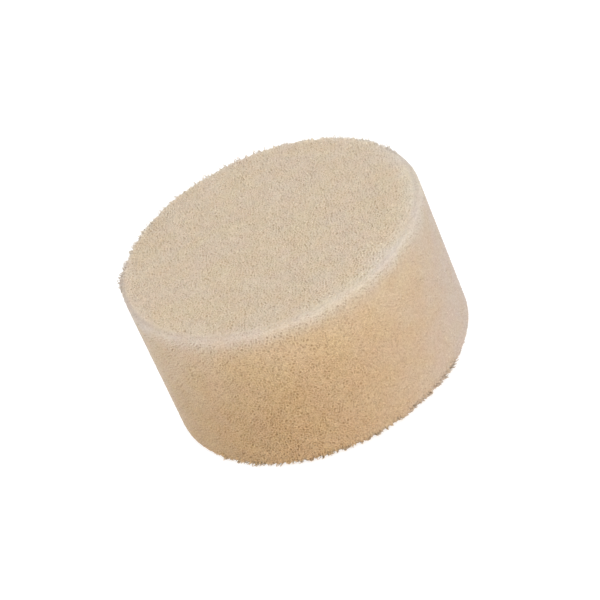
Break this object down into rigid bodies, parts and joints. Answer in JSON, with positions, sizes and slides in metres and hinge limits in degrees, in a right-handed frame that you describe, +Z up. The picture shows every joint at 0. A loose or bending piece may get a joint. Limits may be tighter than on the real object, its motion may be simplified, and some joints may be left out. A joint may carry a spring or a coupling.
{
  "type": "sponge filter block",
  "caption": "Round block of fine open-cell filter foam that fills a filter chamber and strains the water passing through it.",
  "frame": {"origin": "centre of the lower flat face, where the block stands", "axes": "+Z up the block's axis, through both flat faces; X and Y lie in the lower face and are equal by symmetry"},
  "size_m": [0.094, 0.094, 0.05],
  "materials": {
    "foam": "matte"
  },
  "bodies": {
    "root": {"foam_block": "foam"}
  },
  "joints": []
}
